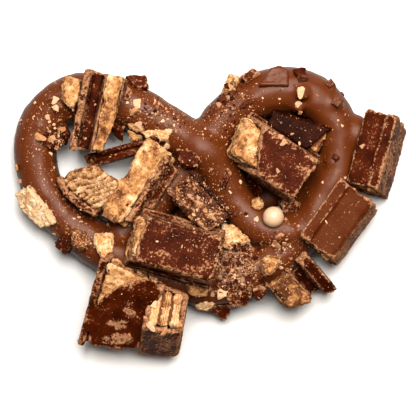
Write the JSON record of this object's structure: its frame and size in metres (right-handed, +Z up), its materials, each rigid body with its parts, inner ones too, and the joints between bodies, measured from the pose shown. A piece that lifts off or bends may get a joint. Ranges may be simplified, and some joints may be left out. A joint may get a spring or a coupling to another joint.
{
  "type": "chocolate-dipped pretzel topped with broken wafer bar",
  "caption": "Heart-shaped hard pretzel dipped in milk chocolate and topped with broken chunks of a chocolate-covered wafer bar, wafer flakes, chocolate shards, crumbs and one white chip.",
  "frame": {"origin": "under the middle of the whole box, on the level that the pretzel lies on", "axes": "+Z up, +Y to the top of the heart where its two lobes are, +X to the right as the pretzel is seen from above"},
  "size_m": [0.1056, 0.0778, 0.0214],
  "materials": {
    "milk_chocolate": "satin",
    "bar_chocolate": "scuffed",
    "wafer": "matt, porous",
    "creamy_white": "satin"
  },
  "bodies": {
    "root": {"pretzel": "milk_chocolate", "centre_block_coat": "bar_chocolate", "centre_block_wafer": "wafer", "loop_block_coat": "bar_chocolate", "loop_block_wafer": "wafer", "corner_block_coat": "bar_chocolate", "corner_block_wafer": "wafer", "standing_block_coat": "bar_chocolate", "standing_block_wafer": "wafer", "east_block_coat": "bar_chocolate", "east_block_wafer": "wafer", "shoulder_block_coat": "bar_chocolate", "shoulder_block_wafer": "wafer", "cross_block_coat": "bar_chocolate", "cross_block_wafer": "wafer", "back_block_coat": "bar_chocolate", "back_block_wafer": "wafer", "rough_block_coat": "bar_chocolate", "rough_block_wafer": "wafer", "upper_valley_coat": "bar_chocolate", "upper_valley_wafer": "wafer", "lower_valley_coat": "bar_chocolate", "lower_valley_wafer": "wafer", "wafer_slab": "wafer", "wafer_slab_rim": "bar_chocolate", "channelled_strip": "bar_chocolate", "rim_curl": "bar_chocolate", "loop_curl": "bar_chocolate", "white_chip": "creamy_white", "west_flake": "wafer", "rim_lump": "wafer", "pale_flake": "wafer", "top_lump": "wafer", "top_chunk": "bar_chocolate", "top_shard": "bar_chocolate", "inner_flake": "bar_chocolate", "inner_chip": "bar_chocolate", "pale_shard": "wafer", "split_shard": "wafer", "thin_flake": "wafer", "dark_shard": "bar_chocolate", "crossing_lump": "bar_chocolate", "crossing_flake": "bar_chocolate", "wedge": "wafer", "chip_side_flake": "wafer", "chip_side_lump": "bar_chocolate", "ring_lump": "wafer", "top_plate": "milk_chocolate", "top_square": "bar_chocolate", "notch_lump": "wafer", "top_lump_east": "bar_chocolate", "foot_flake": "wafer", "foot_lump": "bar_chocolate", "foot_lump_east": "bar_chocolate", "foot_chunk": "bar_chocolate", "foot_pale_flake": "wafer"}
  },
  "joints": []
}
